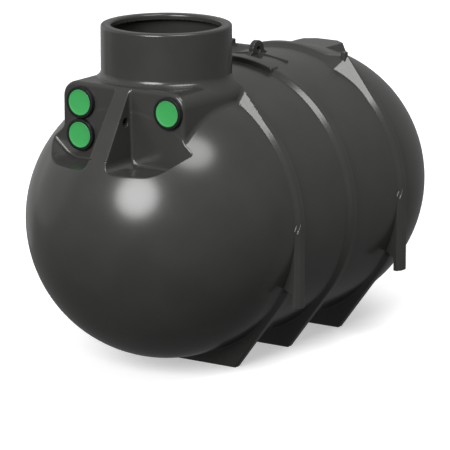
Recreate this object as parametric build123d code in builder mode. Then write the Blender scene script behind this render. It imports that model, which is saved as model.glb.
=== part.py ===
"""Underground rainwater cistern in moulded plastic.

A round barrel lies on its side between two hemispherical ends. The manhole neck and a square
port housing stand over the front end, three ribs with flat feet carry the barrel, and strap
legs hang at both sides of the outer ribs. All sizes are millimetres, +X is across, -Y is the
end with the ports and +Z is up from the ground.
"""
import math
import os

from build123d import *

os.makedirs("parts", exist_ok=True)

# Vessel
barrel_radius = 650.0
barrel_length = 1040.0
wall = 10.0
ground_clearance = 47.0

# Neck over the front end
neck_radius = 300.0
neck_wall = 12.0
neck_rise = 253.0
rim_step = 48.0
rim_depth = 28.0
rim_round = 11.0
neck_fillet = 14.0
neck_fillet_lip = 2.0
neck_skirt = 24.0

# Port housing, measured from the neck's axis and from the crown
housing_side_clearance = 35.0
housing_front = 346.0
housing_back = 142.0
housing_rise = 11.0
housing_corner = 16.0
housing_shoulder = 60.0
housing_lid_depth = 21.0

# Ports with their seals and caps, measured from the housing's sides and top
port_radius = 63.0
port_left_inset = 107.0
port_right_inset = 81.0
port_drop = 91.0
port_gap = 9.0
seal_flange = 7.0
seal_sleeve = 3.0
seal_barb = 1.0
seal_proud = 20.0
seal_depth_inside = 10.0
seal_lip = 4.0
cap_proud = 22.0
cap_rim = 5.0
cap_recess = 2.0

# Pockets in front of the ports, and the nose between them
pocket_floor_drop = 114.0
pocket_floor_inset = 52.0
pocket_slant_degrees = 42.0
nose_half_width_low = 50.0
nose_half_width_high = 38.0
nose_foot_rise = 53.0
tie_hole_radius = 20.0
tie_hole_drop = 60.0
tie_hole_depth = 38.0

# Ribs
front_rib_inset = 80.0
rear_rib_inset = 70.0
rib_width = 62.0
rib_slope = 35.0
rib_height = 15.0
flare_half_width = 320.0
flare_drop = 24.0

# Feet
foot_half_width = 307.0
foot_split_rise = 243.0

# Strap legs, measured down from the barrel's axis
leg_depth = 35.0
leg_drop = 367.0
web_barrel_drop = 274.0
web_leg_drop = 302.0

# Saddle over the middle rib
saddle_half_width = 228.0
saddle_rise = 25.0

# Pad over the rear end, measured back from the end of the barrel and down from the crown
pad_half_width = 108.0
pad_front_half_width = 62.0
pad_back_half_width = 57.0
pad_front = 130.0
pad_side_front = 242.0
pad_side_back = 287.0
pad_back = 328.0
pad_drop = 19.0
boss_inset = 18.0
boss_length = 36.0
boss_width = 24.0
boss_rise = 24.0
boss_round = 8.0

# Lifting lug, measured back from the middle rib and up from the crown
lug_gap = 157.0
lug_thickness = 26.0
lug_base = 153.0
lug_rise = 65.0
lug_eye_radius = 14.0
lug_eye_rise = 21.0
lug_round = 48.0
gusset_reach = 178.0
gusset_width = 60.0
gusset_rise = 8.5
gusset_tip_width = 6.0
gusset_tip_rise = 7.0

# Values that follow from the sizes above
axis_height = barrel_radius + ground_clearance
crown = axis_height + barrel_radius
core_height = axis_height + barrel_radius / 2
inner_radius = barrel_radius - wall
half_barrel = barrel_length / 2
crest_radius = barrel_radius + rib_height
neck_y = -half_barrel
neck_top = crown + neck_rise
rim_inner_radius = neck_radius - rim_step
housing_half_width = neck_radius + housing_side_clearance
housing_top_height = crown + housing_rise
seal_outer_radius = port_radius + seal_flange
seal_inner_radius = port_radius - seal_sleeve
port_left_x = port_left_inset - housing_half_width
port_right_x = housing_half_width - port_right_inset
port_high = housing_top_height - port_drop
port_low = port_high - 2 * seal_outer_radius - port_gap
pocket_floor_height = port_low - pocket_floor_drop
pocket_floor_end = housing_half_width - pocket_floor_inset
nose_foot_height = pocket_floor_height + nose_foot_rise
tie_hole_height = port_high - tie_hole_drop
flare_height = crown - flare_drop
foot_split_height = ground_clearance + foot_split_rise
pad_height = crown - pad_drop
lug_top = crown + lug_rise
lug_eye_height = crown + lug_eye_rise
gusset_height = crown + gusset_rise
gusset_tip_height = axis_height + math.sqrt(barrel_radius ** 2 - gusset_reach ** 2) + gusset_tip_rise
housing_front_y = neck_y - housing_front
housing_back_y = neck_y + housing_back
front_rib_y = front_rib_inset - half_barrel
rear_rib_y = half_barrel - rear_rib_inset
rib_fronts = [front_rib_y, (front_rib_y + rear_rib_y) / 2, rear_rib_y]
lug_y = rib_fronts[1] + rib_width + lug_gap
rib_names = ["front", "middle", "rear"]
barrel_axis = Axis((0, 0, axis_height), (0, 1, 0))
reach = 4 * barrel_radius
crown_degrees = 90
half_turn = 2 * crown_degrees
full_turn = 2 * half_turn


def cross_plane(y):
    """Plane across the barrel at y, with local x along +X and local y along +Z."""
    return Plane.XZ.offset(-y)


def tangent_angle(x, z, radius):
    """Angle on a circle about the barrel axis whose tangent passes through a point outside it."""
    rise = z - axis_height
    side = math.atan2(rise, x)
    turn = math.acos(radius / math.hypot(x, rise))
    return math.degrees(side - turn if rise > 0 else side + turn)


def circle_point(radius, degrees):
    """Point on a circle about the barrel axis, in the cross plane."""
    angle = math.radians(degrees)
    return (radius * math.cos(angle), axis_height + radius * math.sin(angle))


def save(name, piece):
    """Label a finished piece and write its file."""
    piece.part.label = name
    export_step(piece.part, f"parts/{name}.step")


def vessel(radius):
    """Solid of the barrel and both hemispherical ends."""
    with BuildPart() as body:
        with BuildSketch(Plane.YZ):
            with BuildLine():
                front_tip = (-half_barrel - radius, axis_height)
                rear_tip = (half_barrel + radius, axis_height)
                front_crown = (-half_barrel, axis_height + radius)
                rear_crown = (half_barrel, axis_height + radius)
                RadiusArc(front_tip, front_crown, radius)
                Line(front_crown, rear_crown)
                RadiusArc(rear_crown, rear_tip, radius)
                Line(rear_tip, front_tip)
            make_face()
        revolve(axis=barrel_axis)
    return body.part


def housing_block(inset):
    """Square block of the port housing, drawn in by an inset on every side."""
    with BuildPart() as block:
        with BuildSketch(cross_plane(housing_back_y - inset)):
            with Locations((0, axis_height)):
                Rectangle(
                    2 * (housing_half_width - inset),
                    housing_top_height - inset - axis_height,
                    align=(Align.CENTER, Align.MIN),
                )
        extrude(amount=housing_front + housing_back - 2 * inset)
        fillet(block.edges().filter_by(Axis.Y).group_by(Axis.Z)[-1], housing_shoulder - inset)
        fillet(block.faces().sort_by(Axis.Y)[0].edges().sort_by(Axis.Z)[1:], housing_corner - inset)
    return block.part


def nose_block(inset):
    """Wedge between the pockets whose front face lies tangent to the end."""
    rise = nose_foot_height - axis_height
    run = math.sqrt(barrel_radius ** 2 - rise ** 2)
    slope = run / rise
    top = housing_top_height - inset
    foot_y = neck_y - run + inset * run / barrel_radius
    foot_z = nose_foot_height - inset * rise / barrel_radius
    top_y = foot_y + (top - foot_z) / slope
    with BuildPart() as block:
        with BuildSketch(Plane.YZ.offset(-nose_half_width_low - wall)):
            with BuildLine():
                Polyline((foot_y, foot_z), (top_y, top), (neck_y, top), (neck_y, foot_z), close=True)
            make_face()
        extrude(amount=2 * (nose_half_width_low + wall))
    return block.part


def pocket_cut(side, grow):
    """Recess in front of one port wall, grown by the wall for the inside of the shell."""
    high = housing_top_height + 3 * wall
    high_end = pocket_floor_end + (high - pocket_floor_height) / math.tan(math.radians(pocket_slant_degrees))
    taper = (nose_half_width_low - nose_half_width_high) / (housing_top_height - pocket_floor_height)
    high_x = nose_half_width_low - taper * (high - pocket_floor_height)
    with BuildPart() as cut:
        with BuildSketch(cross_plane(housing_front_y + grow)):
            with BuildLine():
                Polyline(
                    (side * nose_half_width_low, pocket_floor_height),
                    (side * pocket_floor_end, pocket_floor_height),
                    (side * high_end, high),
                    (side * high_x, high),
                    close=True,
                )
            make_face()
            if grow > 0:
                offset(amount=grow, kind=Kind.INTERSECTION)
        extrude(amount=barrel_radius)
    return cut.part


def neck_bore():
    """Round way down through the neck into the vessel."""
    with BuildPart() as bore:
        with BuildSketch(Plane.XY.offset(axis_height)):
            with Locations((0, neck_y)):
                Circle(neck_radius - neck_wall)
        extrude(amount=neck_top - axis_height)
    return bore.part


def tie_hole(radius):
    """Cross hole through the nose for a strap or cable."""
    with BuildPart() as hole:
        with BuildSketch(Plane.YZ.offset(-nose_half_width_low - wall)):
            with Locations((housing_front_y - tie_hole_depth, tie_hole_height)):
                Circle(radius)
        extrude(amount=2 * (nose_half_width_low + wall))
    return hole.part


# Outer form of the vessel with the housing and its two pockets
with BuildPart() as outer_form:
    add(vessel(barrel_radius))
    add(housing_block(0))
    add(nose_block(0))
    add(pocket_cut(1, 0), mode=Mode.SUBTRACT)
    add(pocket_cut(-1, 0), mode=Mode.SUBTRACT)

# Cavity inside the moulded wall
with BuildPart() as cavity:
    add(vessel(inner_radius))
    add(housing_block(wall))
    add(nose_block(wall))
    add(pocket_cut(1, wall), mode=Mode.SUBTRACT)
    add(pocket_cut(-1, wall), mode=Mode.SUBTRACT)
    add(tie_hole(tie_hole_radius + wall), mode=Mode.SUBTRACT)

# Moulded wall, opened by the neck and by the cross hole of the nose
with BuildPart() as shell:
    add(outer_form.part)
    add(cavity.part, mode=Mode.SUBTRACT)
    add(neck_bore(), mode=Mode.SUBTRACT)
    add(tie_hole(tie_hole_radius), mode=Mode.SUBTRACT)


def lengthwise(source, y_from, y_to):
    """Slice of a solid between two cross planes."""
    with BuildPart() as piece:
        add(source)
        split(bisect_by=cross_plane(y_from), keep=Keep.BOTTOM)
        split(bisect_by=cross_plane(y_to), keep=Keep.TOP)
    return piece.part


# Front end below the pockets, and the shoulders beside the housing
housing_split = housing_top_height - housing_lid_depth
floor_split = pocket_floor_height - wall
front_part = lengthwise(shell.part, neck_y - reach, rib_fronts[0])

with BuildPart() as front_dome:
    add(front_part)
    split(bisect_by=Plane.XY.offset(floor_split), keep=Keep.BOTTOM)
save("front_dome", front_dome)

with BuildPart() as front_upper:
    add(front_part)
    split(bisect_by=Plane.XY.offset(floor_split), keep=Keep.TOP)

for side, side_name, outward in ((-1, "left", Keep.BOTTOM), (1, "right", Keep.TOP)):
    with BuildPart() as shoulder:
        add(front_upper.part)
        split(bisect_by=Plane.YZ.offset(side * housing_half_width), keep=outward)
    save(f"dome_shoulder_{side_name}", shoulder)

with BuildPart() as housing:
    add(front_upper.part)
    split(bisect_by=Plane.YZ.offset(housing_half_width), keep=Keep.BOTTOM)
    split(bisect_by=Plane.YZ.offset(-housing_half_width), keep=Keep.TOP)

with BuildPart() as housing_walls:
    add(housing.part)
    split(bisect_by=Plane.XY.offset(housing_split), keep=Keep.BOTTOM)

with BuildPart() as housing_front_zone:
    add(housing_walls.part)
    split(bisect_by=cross_plane(housing_front_y + housing_corner), keep=Keep.TOP)

with BuildPart() as housing_rear_zone:
    add(housing_walls.part)
    split(bisect_by=cross_plane(housing_front_y + housing_corner), keep=Keep.BOTTOM)

# Nose between the pockets
with BuildPart() as nose:
    add(housing_front_zone.part)
    split(bisect_by=Plane.YZ.offset(nose_half_width_low), keep=Keep.BOTTOM)
    split(bisect_by=Plane.YZ.offset(-nose_half_width_low), keep=Keep.TOP)
save("nose", nose)

# Port walls, pocket floors and housing sides
port_holes = {
    "left": [(port_left_x, port_high), (port_left_x, port_low)],
    "right": [(port_right_x, port_high)],
}
for side, side_name, outward in ((-1, "left", Keep.BOTTOM), (1, "right", Keep.TOP)):
    with BuildPart() as port_wall:
        add(housing_front_zone.part)
        split(bisect_by=Plane.YZ.offset(side * nose_half_width_low), keep=outward)
        split(bisect_by=cross_plane(housing_front_y), keep=Keep.BOTTOM)
        with BuildSketch(cross_plane(housing_front_y + wall)):
            with Locations(*port_holes[side_name]):
                Circle(port_radius)
        extrude(amount=wall, mode=Mode.SUBTRACT)
    save(f"port_wall_{side_name}", port_wall)

    with BuildPart() as pocket_floor:
        add(housing_front_zone.part)
        split(bisect_by=Plane.YZ.offset(side * nose_half_width_low), keep=outward)
        split(bisect_by=cross_plane(housing_front_y), keep=Keep.TOP)
    save(f"pocket_floor_{side_name}", pocket_floor)

    with BuildPart() as housing_side:
        add(housing_rear_zone.part)
        split(bisect_by=Plane.YZ, keep=outward)
    save(f"housing_side_{side_name}", housing_side)

# Top of the housing, running back over the front rib
rib_front_zone = lengthwise(shell.part, rib_fronts[0], rib_fronts[0] + rib_width)
with BuildPart() as housing_top:
    add(housing.part)
    add(rib_front_zone)
    split(bisect_by=Plane.XY.offset(housing_split), keep=Keep.TOP)
save("housing_top", housing_top)

# Neck with its fillet on the housing, and the thicker rim
neck_axis = Axis((0, neck_y, 0), (0, 0, 1))
with BuildPart() as neck_flare:
    with BuildSketch(Plane.YZ):
        with BuildLine():
            inner_y = neck_y - neck_radius + neck_wall / 2
            foot_y = neck_y - neck_radius - neck_fillet
            lip_height = housing_top_height + neck_fillet_lip
            fillet_top = (neck_y - neck_radius, lip_height + neck_fillet)
            Polyline(
                fillet_top,
                (inner_y, lip_height + neck_fillet),
                (inner_y, housing_top_height - neck_skirt),
                (foot_y, housing_top_height - neck_skirt),
                (foot_y, lip_height),
            )
            RadiusArc((foot_y, lip_height), fillet_top, -neck_fillet)
        make_face()
    revolve(axis=neck_axis)
    split(bisect_by=cross_plane(housing_back_y - wall), keep=Keep.TOP)

with BuildPart() as neck_collar:
    with BuildSketch(Plane.XY.offset(core_height)):
        with Locations((0, neck_y)):
            Circle(neck_radius)
            Circle(neck_radius - neck_wall, mode=Mode.SUBTRACT)
    extrude(amount=neck_top - rim_depth - core_height)
    add(neck_flare.part)
    add(outer_form.part, mode=Mode.SUBTRACT)
save("neck_collar", neck_collar)

with BuildPart() as neck_rim:
    with BuildSketch(Plane.XY.offset(neck_top - rim_depth)):
        with Locations((0, neck_y)):
            Circle(neck_radius)
            Circle(rim_inner_radius, mode=Mode.SUBTRACT)
    extrude(amount=rim_depth)
    fillet(neck_rim.faces().sort_by(Axis.Z)[-1].edges(), rim_round)
save("neck_rim", neck_rim)

# Seals and caps in the ports
for port_name, x, z in (
    ("left_high", port_left_x, port_high),
    ("left_low", port_left_x, port_low),
    ("right", port_right_x, port_high),
):
    port_axis = Axis((x, housing_front_y, z), (0, 1, 0))
    port_plane = Plane(origin=(x, housing_front_y, z), x_dir=(1, 0, 0), z_dir=(0, 0, 1))
    with BuildPart() as seal:
        with BuildSketch(port_plane):
            with BuildLine():
                Polyline(
                    (seal_inner_radius, -seal_proud),
                    (seal_outer_radius - seal_lip, -seal_proud),
                    (seal_outer_radius, seal_lip - seal_proud),
                    (seal_outer_radius, 0),
                    (port_radius, 0),
                    (port_radius, wall),
                    (port_radius + seal_barb, wall),
                    (port_radius, wall + seal_depth_inside),
                    (seal_inner_radius, wall + seal_depth_inside),
                    close=True,
                )
            make_face()
        revolve(axis=port_axis)
    save(f"seal_{port_name}", seal)

    with BuildPart() as cap:
        with BuildSketch(port_plane):
            with BuildLine():
                Polyline(
                    (0, cap_recess - cap_proud),
                    (seal_inner_radius - cap_rim - cap_recess, cap_recess - cap_proud),
                    (seal_inner_radius - cap_rim, -cap_proud),
                    (seal_inner_radius, -cap_proud),
                    (seal_inner_radius, wall),
                    (seal_inner_radius - cap_rim, wall),
                    (seal_inner_radius - cap_rim, cap_rim + cap_recess - cap_proud),
                    (0, cap_rim + cap_recess - cap_proud),
                    close=True,
                )
            make_face()
        revolve(axis=port_axis)
    save(f"cap_{port_name}", cap)

# Ribs with their flat feet
foot_tangent = tangent_angle(foot_half_width, 0, crest_radius)
foot_corner = math.degrees(math.atan2(-axis_height, foot_half_width))
flare_tangent = tangent_angle(flare_half_width, flare_height, crest_radius)
flare_corner = math.degrees(math.atan2(flare_height - axis_height, flare_half_width))
flare_top_half = math.sqrt(crest_radius ** 2 - (flare_height - axis_height) ** 2)
flare_top_angle = math.degrees(math.atan2(flare_height - axis_height, flare_top_half))


def arc_between(radius, start, end):
    """Arc about the barrel axis from one angle to another."""
    return ThreePointArc(
        circle_point(radius, start), circle_point(radius, (start + end) / 2), circle_point(radius, end)
    )


def crest_outline(flared):
    """Outline of a rib's crest: a circle that runs straight into the foot and, on some, the flares."""
    with BuildLine() as outline:
        base = [(foot_half_width, 0), (-foot_half_width, 0)]
        Line(*base)
        Line(circle_point(crest_radius, foot_tangent), base[0])
        Line(base[1], circle_point(crest_radius, half_turn - foot_tangent))
        if flared:
            corner = (flare_half_width, flare_height)
            arc_between(crest_radius, foot_tangent, flare_tangent)
            Line(circle_point(crest_radius, flare_tangent), corner)
            Line(corner, circle_point(crest_radius, flare_top_angle))
            arc_between(crest_radius, flare_top_angle, half_turn - flare_top_angle)
            Line(circle_point(crest_radius, half_turn - flare_top_angle), (-corner[0], corner[1]))
            Line((-corner[0], corner[1]), circle_point(crest_radius, half_turn - flare_tangent))
            arc_between(crest_radius, half_turn - flare_tangent, half_turn - foot_tangent)
        else:
            arc_between(crest_radius, foot_tangent, crown_degrees)
            arc_between(crest_radius, crown_degrees, half_turn - foot_tangent)
    return outline


def root_outline(flared):
    """Circle on the barrel, cut at the same corners as the crest's outline."""
    angles = [foot_corner, foot_tangent]
    if flared:
        angles += [flare_tangent, flare_corner, flare_top_angle]
    else:
        angles += [crown_degrees]
    mirrored = [half_turn - angle for angle in reversed(angles) if angle != crown_degrees]
    stations = angles + mirrored + [foot_corner + full_turn]
    with BuildLine() as outline:
        for start, end in zip(stations, stations[1:]):
            arc_between(barrel_radius, start, end)
    return outline


rib_forms = {}
for rib_name, front in zip(rib_names, rib_fronts):
    flared = rib_name != "middle"
    with BuildPart() as rib_form:
        with BuildSketch(cross_plane(front)) as root:
            add(root_outline(flared).line)
            make_face()
        with BuildSketch(cross_plane(front + rib_slope)) as crest:
            add(crest_outline(flared).line)
            make_face()
        loft(ruled=True)
        with BuildSketch(cross_plane(front + rib_width)):
            add(crest_outline(flared).line)
            make_face()
        extrude(amount=rib_width - rib_slope)
    rib_forms[rib_name] = rib_form.part

for rib_name, front in zip(rib_names, rib_fronts):
    zone = lengthwise(shell.part, front, front + rib_width)
    with BuildPart() as rib_ring:
        add(rib_forms[rib_name])
        add(lengthwise(outer_form.part, front, front + rib_width), mode=Mode.SUBTRACT)
        add(zone)
        add(neck_bore(), mode=Mode.SUBTRACT)
        if rib_name == "front":
            split(bisect_by=Plane.XY.offset(housing_split), keep=Keep.BOTTOM)
    for side_name, outward in (("left", Keep.BOTTOM), ("right", Keep.TOP)):
        with BuildPart() as rib:
            add(rib_ring.part)
            split(bisect_by=Plane.XY.offset(foot_split_height), keep=Keep.TOP)
            split(bisect_by=Plane.YZ, keep=outward)
        save(f"{rib_name}_rib_{side_name}", rib)
    with BuildPart() as foot:
        add(rib_ring.part)
        split(bisect_by=Plane.XY.offset(foot_split_height), keep=Keep.BOTTOM)
    save(f"{rib_name}_foot", foot)

# Strap legs on the outer ribs
for rib_name in ("front", "rear"):
    front = rib_fronts[rib_names.index(rib_name)]
    for side, side_name in ((-1, "left"), (1, "right")):
        with BuildPart() as leg:
            with BuildSketch(cross_plane(front + rib_width)):
                with BuildLine():
                    inner_x = crest_radius - leg_depth
                    web_x = math.sqrt(barrel_radius ** 2 - web_barrel_drop ** 2) - wall
                    Polyline(
                        (side * crest_radius, axis_height),
                        (side * crest_radius, axis_height - leg_drop),
                        (side * inner_x, axis_height - leg_drop),
                        (side * inner_x, axis_height - web_leg_drop),
                        (side * web_x, axis_height - web_barrel_drop),
                        (side * web_x, axis_height),
                        close=True,
                    )
                make_face()
            extrude(amount=rib_width)
            add(rib_forms[rib_name], mode=Mode.SUBTRACT)
        save(f"{rib_name}_leg_{side_name}", leg)

# Barrel wall between the ribs, in four segments each
for bay_name, bay_start, bay_end in (
    ("front", rib_fronts[0] + rib_width, rib_fronts[1]),
    ("rear", rib_fronts[1] + rib_width, rib_fronts[2]),
):
    bay = lengthwise(shell.part, bay_start, bay_end)
    rising = Plane(origin=(0, 0, axis_height), x_dir=(0, 1, 0), z_dir=(-1, 0, 1))
    falling = Plane(origin=(0, 0, axis_height), x_dir=(0, 1, 0), z_dir=(1, 0, 1))
    for segment_name, over_rising, over_falling in (
        ("top", Keep.TOP, Keep.TOP),
        ("right", Keep.BOTTOM, Keep.TOP),
        ("bottom", Keep.BOTTOM, Keep.BOTTOM),
        ("left", Keep.TOP, Keep.BOTTOM),
    ):
        with BuildPart() as segment:
            add(bay)
            split(bisect_by=rising, keep=over_rising)
            split(bisect_by=falling, keep=over_falling)
        save(f"{bay_name}_bay_{segment_name}", segment)

# Rear end
with BuildPart() as rear_dome:
    add(lengthwise(shell.part, rib_fronts[2] + rib_width, half_barrel + reach))
save("rear_dome", rear_dome)

# Saddle over the middle rib
with BuildPart() as middle_saddle:
    with BuildSketch(cross_plane(rib_fronts[1] + rib_width)):
        with Locations((0, axis_height)):
            Circle(barrel_radius + saddle_rise)
        with Locations((0, axis_height)):
            Rectangle(2 * saddle_half_width, reach, align=(Align.CENTER, Align.MIN), mode=Mode.INTERSECT)
    extrude(amount=rib_width)
    add(rib_forms["middle"], mode=Mode.SUBTRACT)
    add(outer_form.part, mode=Mode.SUBTRACT)
save("middle_saddle", middle_saddle)

# Blind pad over the rear end, and a small boss behind each flare of the rear rib
with BuildPart() as rear_pad:
    with BuildSketch(Plane.XY.offset(core_height)):
        with BuildLine():
            Polyline(
                (pad_front_half_width, half_barrel + pad_front),
                (pad_half_width, half_barrel + pad_side_front),
                (pad_half_width, half_barrel + pad_side_back),
                (pad_back_half_width, half_barrel + pad_back),
                (-pad_back_half_width, half_barrel + pad_back),
                (-pad_half_width, half_barrel + pad_side_back),
                (-pad_half_width, half_barrel + pad_side_front),
                (-pad_front_half_width, half_barrel + pad_front),
                close=True,
            )
        make_face()
    extrude(amount=pad_height - core_height)
    add(outer_form.part, mode=Mode.SUBTRACT)
save("rear_pad", rear_pad)

rear_rib_back = rib_fronts[2] + rib_width
for side, side_name in ((-1, "left"), (1, "right")):
    with BuildPart() as boss:
        with BuildSketch(cross_plane(rear_rib_back + boss_length)):
            with Locations((side * (flare_half_width - boss_inset), flare_height + boss_rise)):
                Rectangle(boss_width, barrel_radius / 2, align=(Align.CENTER, Align.MAX))
        extrude(amount=boss_length)
        fillet(boss.edges().filter_by(Axis.Y).group_by(Axis.Z)[-1], boss_round)
        add(outer_form.part, mode=Mode.SUBTRACT)
    save(f"rear_boss_{side_name}", boss)

# Lifting lug between the middle and rear ribs, with a tapered gusset at each side
shoulder_height = lug_top - lug_round
gussets = []
for side in (-1, 1):
    with BuildPart() as gusset:
        with BuildSketch(Plane.YZ):
            with Locations((lug_y, core_height)):
                Rectangle(gusset_width, gusset_height - core_height, align=(Align.CENTER, Align.MIN))
        with BuildSketch(Plane.YZ.offset(side * gusset_reach)):
            with Locations((lug_y, core_height)):
                Rectangle(gusset_tip_width, gusset_tip_height - core_height, align=(Align.CENTER, Align.MIN))
        loft(ruled=True)
    gussets.append(gusset.part)

with BuildPart() as lifting_lug:
    with BuildSketch(Plane.YZ.offset(-lug_thickness / 2)):
        with BuildLine():
            Polyline(
                (lug_y + lug_round, shoulder_height),
                (lug_y + lug_base / 2, crown),
                (lug_y + lug_base / 2, core_height),
                (lug_y - lug_base / 2, core_height),
                (lug_y - lug_base / 2, crown),
                (lug_y - lug_round, shoulder_height),
            )
            ThreePointArc(
                (lug_y - lug_round, shoulder_height), (lug_y, lug_top), (lug_y + lug_round, shoulder_height)
            )
        make_face()
    extrude(amount=lug_thickness)
    for gusset_solid in gussets:
        add(gusset_solid)
    with BuildSketch(Plane.YZ.offset(-lug_thickness)):
        with Locations((lug_y, lug_eye_height)):
            Circle(lug_eye_radius)
    extrude(amount=2 * lug_thickness, mode=Mode.SUBTRACT)
    add(outer_form.part, mode=Mode.SUBTRACT)
save("lifting_lug", lifting_lug)
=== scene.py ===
"""Looks of a moulded rainwater cistern with a manhole neck, three pipe ports, ribs and feet.

The moulded body is drawn in two skins that share one shape. The barrel, its ends, ribs and feet
follow a radius rule about the barrel's axis. The front moulding, with the neck, the port housing
and the two recesses, is read from a distance field. Small parts are bevelled meshes or node trees.
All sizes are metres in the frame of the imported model.
"""
import logging
import math
from abc import ABC, abstractmethod
from collections.abc import Callable, Iterator, Sequence
from contextlib import contextmanager
from dataclasses import dataclass
from enum import Enum

import bmesh
import bpy
import numpy as np
from mathutils import Euler, Matrix, Vector

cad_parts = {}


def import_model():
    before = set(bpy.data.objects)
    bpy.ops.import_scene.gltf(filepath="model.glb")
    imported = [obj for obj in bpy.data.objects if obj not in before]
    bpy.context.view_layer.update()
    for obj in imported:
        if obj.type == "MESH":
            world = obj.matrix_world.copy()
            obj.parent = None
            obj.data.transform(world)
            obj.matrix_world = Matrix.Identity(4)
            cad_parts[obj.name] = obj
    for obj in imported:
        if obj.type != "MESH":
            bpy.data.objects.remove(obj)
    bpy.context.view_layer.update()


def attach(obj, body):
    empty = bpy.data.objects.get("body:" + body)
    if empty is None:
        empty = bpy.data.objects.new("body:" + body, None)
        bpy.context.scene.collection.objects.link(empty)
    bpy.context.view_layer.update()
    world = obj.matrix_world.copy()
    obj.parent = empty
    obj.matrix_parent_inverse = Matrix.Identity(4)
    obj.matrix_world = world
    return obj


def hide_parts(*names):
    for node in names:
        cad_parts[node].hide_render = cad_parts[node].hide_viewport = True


LOG = logging.getLogger("cistern")
ROOT = "root"
Array = np.ndarray
Outline = Sequence[tuple[float, float]]
Colour = tuple[float, float, float]
WHITE = (1.0, 1.0, 1.0, 1.0)
SIDES = ((-1, "left"), (1, "right"))
CUT_SNAP = 1e-7
MERGE_DISTANCE = 1e-6
ON_SKIN = 2e-5
LEAST_LENGTH = 1e-12
LEAST_SLOPE = 1e-6


# Sizes of the moulded body

@dataclass(frozen=True)
class Flare:
    """Straight plates of an outer rib beside the crown.

    Attributes:
        half_width: Distance of the upper corner from the mid plane.
        height: Height of the upper corner.
        run_out: How far the plate's foot runs out over the barrel in front of the rib.
    """

    half_width: float
    height: float
    run_out: float


@dataclass(frozen=True)
class Rib:
    """One rib across the barrel."""

    front: float
    flare: Flare | None


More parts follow.
